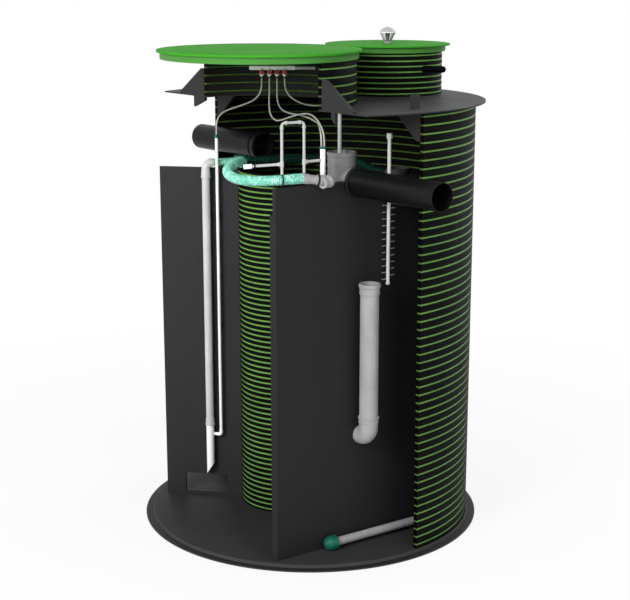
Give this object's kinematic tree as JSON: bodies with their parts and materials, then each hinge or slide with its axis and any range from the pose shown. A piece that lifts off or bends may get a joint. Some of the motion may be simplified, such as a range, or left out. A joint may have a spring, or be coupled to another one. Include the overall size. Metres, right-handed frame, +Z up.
{
  "type": "packaged sewage treatment plant",
  "caption": "Cutaway of an upright round plastic sewage treatment tank: ringed half shell, two lidded access shafts, partitions, inner column, pipes, hoses, air valves and a flanged base.",
  "frame": {"origin": "On the tank's axis, at the underside of the base", "axes": "+Z up, -Y toward the side that the section opens, +X to the right as seen from there"},
  "size_m": [2.1158, 2.2789, 3.031],
  "materials": {
    "black_plastic": "wound shell and shaft walls, glossy black with thin green seams",
    "dark_plastic": "dark grey sheet plastic",
    "green_plastic": "bright green, satin",
    "grey_plastic": "mid grey pipe plastic, slightly mottled",
    "black_pipe": "black pipe, satin",
    "white_plastic": "white pipe plastic",
    "mint_hose": "corrugated pale green hose",
    "teal_hose": "corrugated dark green hose",
    "air_hose": "thin translucent air hose",
    "red_plastic": "red valve knobs",
    "cap_green": "dark blue-green fittings",
    "black_rubber": "black rubber rings"
  },
  "bodies": {
    "root": {"air_hose_1": "air_hose", "air_hose_2": "air_hose", "air_hose_3": "air_hose", "air_hose_4": "air_hose", "air_pipe": "white_plastic", "airlift_foot": "white_plastic", "airlift_hose": "mint_hose", "airlift_pipe": "grey_plastic", "base_plate": "dark_plastic", "branch_cap": "white_plastic", "brush_rod": "white_plastic", "conduit_stub": "black_pipe", "cover_plate": "dark_plastic", "drain_cap": "cap_green", "drain_pipe": "grey_plastic", "front_partition": "dark_plastic", "hose_collars": "cap_green", "hose_coupling": "cap_green", "inlet_pipe": "black_pipe", "inner_column": "black_plastic", "large_lid": "green_plastic", "large_shaft": "black_plastic", "left_partition": "dark_plastic", "lifting_lug": "dark_plastic", "manifold_bar": "grey_plastic", "mint_hose": "mint_hose", "outlet_pipe": "black_pipe", "outlet_seal": "black_rubber", "outlet_tee": "grey_plastic", "overflow_elbow": "grey_plastic", "pipe_clips": "black_rubber", "pipe_frame": "white_plastic", "plate_gussets": "dark_plastic", "rear_hose": "teal_hose", "rear_pipe": "grey_plastic", "riser_pipe": "white_plastic", "rubber_rings": "black_rubber", "shaft_gussets": "dark_plastic", "shell_front_right": "black_plastic", "shell_gussets": "dark_plastic", "shell_rear": "black_plastic", "shell_right": "black_plastic", "small_lid": "green_plastic", "small_shaft": "black_plastic", "tee_rod": "white_plastic", "transfer_pipe": "grey_plastic", "valve_bodies": "white_plastic", "valve_knobs": "red_plastic", "vent_cap": "white_plastic"}
  },
  "joints": []
}
